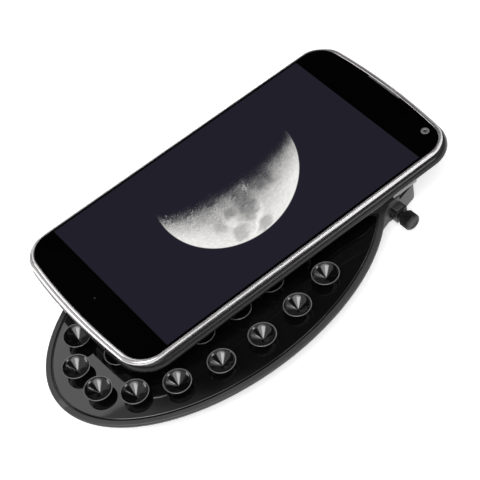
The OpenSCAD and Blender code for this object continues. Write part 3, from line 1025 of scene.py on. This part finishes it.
windowMiddle = (low("rear_window") + high("rear_window")) / 2
lensAt = [v / mm for v in (phonePlace.inverted() @ (windowMiddle * mm))]
buttonMiddle = sum(phone["buttonZ"]) / 2
buttonHeight = phone["buttonZ"][1] - phone["buttonZ"][0]


def phoneEnd(halfWidth, reach, corner):
    # a bowed end, from the right side round to the left
    bow = phone["bow"]
    cx = halfWidth - corner
    c0 = reach - bow
    cy = c0 + sqrt((bow - corner) ** 2 - cx * cx)
    a = degrees(atan2(cy - c0, cx))
    return (arc((cx, cy), corner, 0, a, 16) + arc((0, c0), bow, a, 180 - a, 24)[1:]
            + arc((-cx, cy), corner, 180 - a, 180, 16)[1:])


def phoneOutline(halfWidth, top, foot, corner, sideSteps=14):
    upper = phoneEnd(halfWidth, top, corner)
    lower = [(-x, -y) for x, y in phoneEnd(halfWidth, foot, corner)]

    def side(x, start, end):
        return [(x, start + (end - start) * i / sideSteps) for i in range(1, sideSteps)]

    return (upper + side(-halfWidth, upper[-1][1], lower[0][1]) + lower
            + side(halfWidth, lower[-1][1], upper[0][1]))


def throughSpline(keys, steps):
    # a smooth run of pairs through the given ones
    points = []
    for i in range(len(keys) - 1):
        p0, p1, p2, p3 = keys[max(i - 1, 0)], keys[i], keys[i + 1], keys[min(i + 2, len(keys) - 1)]
        for k in range(steps):
            t = k / steps
            points.append(tuple(0.5 * (2 * p1[c] + (p2[c] - p0[c]) * t
                                       + (2 * p0[c] - 5 * p1[c] + 4 * p2[c] - p3[c]) * t * t
                                       + (3 * p1[c] - p0[c] - 3 * p2[c] + p3[c]) * t ** 3) for c in (0, 1)))
    return points + [tuple(keys[-1])]


def makeGlass():
    outline = phoneOutline(*phone["glass"])
    thick = high("front_glass").z - low("front_glass").z
    levels = [(0.1, -thick), (0.0, -thick + 0.1), (0.0, -0.36), (0.05, -0.2), (0.18, -0.08), (0.4, -0.02),
              (0.75, 0)]
    piece = stacked("frontGlass", outline, levels, phonePlace)
    left, right, edge = phone["notch"]
    corners = [(left, edge), (right, edge), (right + 0.6, edge + 4), (left - 0.6, edge + 4)]
    hole = roundedPolygon(corners, 0.3)
    cut(piece, slab("cutter", hole, -3, 1, phonePlace),
        cylinderCutter(1.45, -3, 1, moved(*phone["frontCamera"], 0, phonePlace), 48))
    material = screenGlass([s * mm for s in phone["screen"]])
    settle(piece, "phone", "black_glass", "front_glass", material=material)


def makeTrim():
    # a polished ring with a bead, a fine groove and a rounded shoulder
    halfWidth, top, foot, corner = phone["glass"]
    inner = phoneOutline(halfWidth + 0.05, top + 0.05, foot + 0.05, corner)
    outer = phoneOutline(*phone["trimOuter"])
    profile = [(0.0, -1.7), (0.0, -0.16), (0.04, -0.07), (0.12, -0.05), (0.3, -0.05), (0.4, -0.08),
               (0.46, -0.2), (0.53, -0.2), (0.6, -0.12), (0.72, -0.18), (0.84, -0.34), (0.94, -0.62),
               (1.0, -1.0), (1.0, -1.6), (0.97, -1.7)]
    rings = [[(p[0] + (q[0] - p[0]) * s, p[1] + (q[1] - p[1]) * s, z) for p, q in zip(inner, outer)]
             for s, z in profile]
    piece = newPiece("trimRing", *loft(rings, closed=True), phonePlace)
    settle(piece, "phone", "bright_trim", "trim_ring")


def stadium(length, height, radius):
    # a long rounded outline about the origin
    x, y = length / 2, height / 2
    return roundedPolygon([(-x, -y), (x, -y), (x, y), (-x, y)], radius, 6)


def sidePlace(side, y, z):
    # axes on a side of the phone: X along the phone, Z outwards
    turn = Matrix(((0, 0, side, 0), (side, 0, 0, 0), (0, 1, 0, 0), (0, 0, 0, 1)))
    return moved(0, y, z, phonePlace) @ turn


def makeBand():
    keys = [(1.4, -1.75), (0.75, -2.3), (0.3, -3.0), (0.02, -3.8), (0.12, -4.4), (0.62, -5.0), (1.4, -6.0),
            (2.3, -7.2), (3.0, -8.0), (3.4, -8.3)]
    halfWidth, top, foot, corner = phone["band"]
    levels = throughSpline(keys, 3)
    rings = [[(x, y, z) for x, y in phoneOutline(halfWidth - d, top - d, foot - 0.6 * d, corner - 0.5 * d)]
             for d, z in levels]
    inside = phoneOutline(*phone["inside"])
    rings += [[(x, y, z) for x, y in inside] for z in (levels[-1][1], levels[0][1])]
    piece = newPiece("sideBand", *loft(rings, closed=True), phonePlace)
    for node, name, side, y0, y1 in phone["buttons"]:
        hole = stadium(y1 - y0 + 0.4, buttonHeight + 0.4, 0.7)
        cut(piece, slab("cutter", hole, *phone["sideCut"], sidePlace(side, (y0 + y1) / 2, buttonMiddle)))
    cut(piece, slab("cutter", stadium(*phone["trayHole"], 0.5), *phone["sideCut"],
                    sidePlace(-1, *phone["trayAt"])))
    footPlace = moved(0, 0, phone["portZ"], phonePlace) @ Matrix.Rotation(radians(90), 4, "X")
    cut(piece, slab("cutter", stadium(*phone["port"], 0.9), *phone["footCut"], footPlace))
    for x, radius in phone["footHoles"]:
        cut(piece, cylinderCutter(radius, *phone["footCut"], moved(x, 0, 0, footPlace), 32))
    x, z = phone["audio"]
    topPlace = moved(x, 0, z, phonePlace) @ Matrix.Rotation(radians(-90), 4, "X")
    cut(piece, cylinderCutter(phone["audioRadius"], *phone["topCut"], topPlace, 48))
    settle(piece, "phone", "band_grey", "side_band")


def makeBack():
    outline = phoneOutline(*phone["back"])
    levels = [(2.6, -9.1), (1.3, -9.07), (0.6, -8.97), (0.2, -8.8), (0.03, -8.6), (0.0, -8.36)]
    piece = stacked("backCover", outline, levels, phonePlace)
    for x, radius in ((lensAt[0], 4.25), (lensAt[0] - 9, 1.85)):
        place = moved(x, lensAt[1], 0, phonePlace)
        cut(piece, cylinderCutter(radius, -10, -7, place, 72))
    settle(piece, "phone", "back_glass", "back_cover")


def makeRearCamera():
    place = moved(lensAt[0], lensAt[1], 0, phonePlace)
    profile = [(0, -8.5), (4.05, -8.5), (4.2, -8.62), (4.2, -8.9), (4.1, -9.04), (3.8, -9.1), (0, -9.1)]
    window = lathe("rearWindow", profile, 72, place)
    settle(window, "phone", "clear_window", "rear_window")
    housing = slab("housingPart", stadium(9, 9, 0.8), -7.2, -3.0, place)
    softenEdges(housing, 0.2)
    profile = [(3.2, -7.0), (3.2, -8.2), (3.05, -8.4), (2.7, -8.42), (2.55, -8.2), (2.4, -8.2), (2.3, -8.0),
               (1.9, -7.9), (1.75, -7.7), (1.75, -7.1)]
    rings = lathe("barrelPart", profile, 64, place)
    settle(joined("rearCameraHousing", [housing, rings]), "phone", "lens_ring", "rear_camera")
    profile = [(1.72, -7.2), (1.72, -7.65), (1.5, -7.8), (1.1, -7.93), (0.6, -8.0), (0, -8.03)]
    lens = lathe("rearLens", profile, 48, place)
    settle(lens, "phone", "black_glass")


def makeFrontCamera():
    x, y = phone["frontCamera"]
    place = moved(x, y, 0, phonePlace)
    ring = lathe("frontCameraRing", [(2.2, -4), (2.2, -0.9), (1.4, -0.86), (1.4, -0.06), (1.3, -0.02),
                                     (0.78, -0.02), (0.66, -0.1), (0.62, -0.3)], 48, place)
    settle(ring, "phone", "lens_ring", "front_camera")
    profile = [(0.6, -0.6), (0.6, -0.28), (0.45, -0.2), (0.25, -0.15), (0, -0.13)]
    lens = lathe("frontLens", profile, 32, place)
    settle(lens, "phone", "black_glass")


def makeGrille():
    # a strip pierced by rows of fine holes
    left, right, edge = phone["notch"]
    columns, rows = 42, 2
    shape = bmesh.new()
    x0, x1, y0, y1 = left + 0.05, right - 0.05, edge + 0.05, 64.6
    face, floor, foot = -0.15, -0.45, -0.78

    def corner(i, j):
        x, y = x0 + (x1 - x0) * i / columns, y0 + (y1 - y0) * j / rows
        return shape.verts.new((x * mm, y * mm, face * mm))

    grid = [[corner(i, j) for i in range(columns + 1)] for j in range(rows + 1)]
    cells = [shape.faces.new((grid[j][i], grid[j][i + 1], grid[j + 1][i + 1], grid[j + 1][i]))
             for j in range(rows) for i in range(columns)]
    bmesh.ops.inset_individual(shape, faces=cells, thickness=0.09 * mm)
    for cell in cells:
        for vert in cell.verts:
            vert.co.z = floor * mm
    rim = [e for e in shape.edges if e.is_boundary]
    skirt = bmesh.ops.extrude_edge_only(shape, edges=rim)["geom"]
    for vert in (g for g in skirt if isinstance(g, bmesh.types.BMVert)):
        vert.co.z = foot * mm
    bmesh.ops.holes_fill(shape, edges=shape.edges)
    bmesh.ops.recalc_face_normals(shape, faces=shape.faces)
    mesh = bpy.data.meshes.new("earpieceGrille")
    shape.to_mesh(mesh)
    shape.free()
    piece = linked("earpieceGrille", mesh)
    piece.matrix_world = phonePlace
    settle(piece, "phone", "grille_metal", "earpiece_grille")


def makeButtons():
    levels = [(0.0, 31.6), (0.0, 33.7), (0.06, 33.92), (0.2, 34.04), (0.42, 34.1)]
    for node, name, side, y0, y1 in phone["buttons"]:
        outline = stadium(y1 - y0, buttonHeight, 0.55)
        piece = stacked(name, outline, levels, sidePlace(side, (y0 + y1) / 2, buttonMiddle))
        settle(piece, node, "button_grey", node)


def makePhone():
    makeGlass()
    makeTrim()
    makeBand()
    makeBack()
    makeRearCamera()
    makeFrontCamera()
    makeGrille()
    makeButtons()
    softCopy("sim_tray", "simTray", 0.15, "sim_tray", "alloy")
    softCopy("charging_socket", "chargingSocket", 0.08, "phone", "alloy")
    softCopy("audio_socket", "audioSocket", 0.15, "phone", "dark_plastic")


makePhone()
print("phone made")


# Every CAD node that still shows takes the finish of its slot.

def dressNodes():
    slots = {item["node"]: item["material_slot"] for item in frame["record"]["subparts"]}
    for name, node in frame["nodes"].items():
        node.data.materials.clear()
        node.data.materials.append(finishes[slots[name]])


dressNodes()
print("inner parts dressed")


# The studio: a pale floor, a dim room with bright panels, and one soft lamp.

studio = {
    "floorSize": 6.0,
    "roomLight": 0.6,
    "horizonLight": 0.2,
    # azimuth, elevation, radius and soft edge in degrees, and brightness
    "panels": [(148, 50, 17, 4, 0.03), (178, 53, 11, 1.0, 1.5), (-43, 58, 25, 1, 2.8),
               (36, 52, 15, 1, 0.03), (-125, 8, 14, 3, 3.4), (25, 28, 8, 2, 5.0), (68, 41, 3, 0.7, 9.0),
               (82, 32, 7, 1, 2.0)],
    # azimuth, elevation, size and power
    "lamps": [("softLamp", -60, 60, (0.5, 0.5), 4)],
    "floorTone": 0.8,
    "floorGlow": 0.5,
    "cameraAt": (0.2597, -0.1995, 0.3911),
    "cameraRight": (0.64481, 0.74977, -0.14845),
    "cameraAhead": (-0.54450, 0.31431, -0.77764),
    "cameraLens": 113.98,
}


def makeFloor():
    half = studio["floorSize"] / 2 / mm
    corners = [(x * half, y * half, -0.05) for x, y in ((-1, -1), (1, -1), (1, 1), (-1, 1))]
    floor = newPiece("floor", corners, [(0, 1, 2, 3)])
    f = Finish("paleFloor")
    cloud = f.noise(3, 3)
    tone = studio["floorTone"]
    f.colour(cloud, grey(tone), grey(tone + 0.03))
    f.roughness(cloud, 0.6, 0.75)
    f.put(f.surface.inputs["Emission Color"], grey(1.0))
    f.surface.inputs["Emission Strength"].default_value = studio["floorGlow"]
    floor.data.materials.append(f.material)


def makeLamp(name, place, target, size, power):
    lamp = bpy.data.lights.new(name, "AREA")
    lamp.shape = "RECTANGLE"
    lamp.size, lamp.size_y = size
    lamp.energy = power
    holder = linked(name, lamp)
    holder.location = place
    holder.rotation_mode = "QUATERNION"
    holder.rotation_quaternion = (target - place).to_track_quat("-Z", "Y")


def direction(azimuth, elevation):
    a, e = radians(azimuth), radians(elevation)
    return (cos(a) * cos(e), sin(a) * cos(e), sin(e))


def makeLight():
    world = bpy.data.worlds.new("room")
    world.use_nodes = True
    room = Nodes(world.node_tree)
    sight = room.node("TexCoord").outputs["Generated"]
    height = room.parts(sight)[2]
    light = room.spread(height, 0.12, 0.5, studio["horizonLight"], studio["roomLight"], smooth=True)
    for azimuth, elevation, size, soft, strength in studio["panels"]:
        near = room.vector("DOT_PRODUCT", sight, direction(azimuth, elevation))
        inside = room.spread(near, cos(radians(size + soft)), cos(radians(size)), smooth=True)
        light = room.calc("ADD", room.times(light, room.calc("SUBTRACT", 1.0, inside)),
                          room.times(inside, strength))
    background = world.node_tree.nodes["Background"]
    background.inputs["Color"].default_value = grey(1.0)
    room.put(background.inputs["Strength"], light)
    bpy.context.scene.world = world
    table = Vector((0, -0.05, 0))
    for name, azimuth, elevation, size, power in studio["lamps"]:
        makeLamp(name, table + Vector(direction(azimuth, elevation)) * 1.3, table, size, power)


def makeCamera():
    camera = linked("camera", bpy.data.cameras.new("camera"))
    right = Vector(studio["cameraRight"]).normalized()
    ahead = Vector(studio["cameraAhead"]).normalized()
    up = right.cross(ahead).normalized()
    turn = Matrix((right, up, -ahead)).transposed().to_4x4()
    camera.matrix_world = Matrix.Translation(studio["cameraAt"]) @ turn
    camera.data.sensor_width = 36
    camera.data.lens = studio["cameraLens"]
    camera.data.clip_start = 0.01
    bpy.context.scene.camera = camera


makeFloor()
makeLight()
makeCamera()
bpy.context.scene.view_settings.view_transform = "Standard"
print("studio ready")
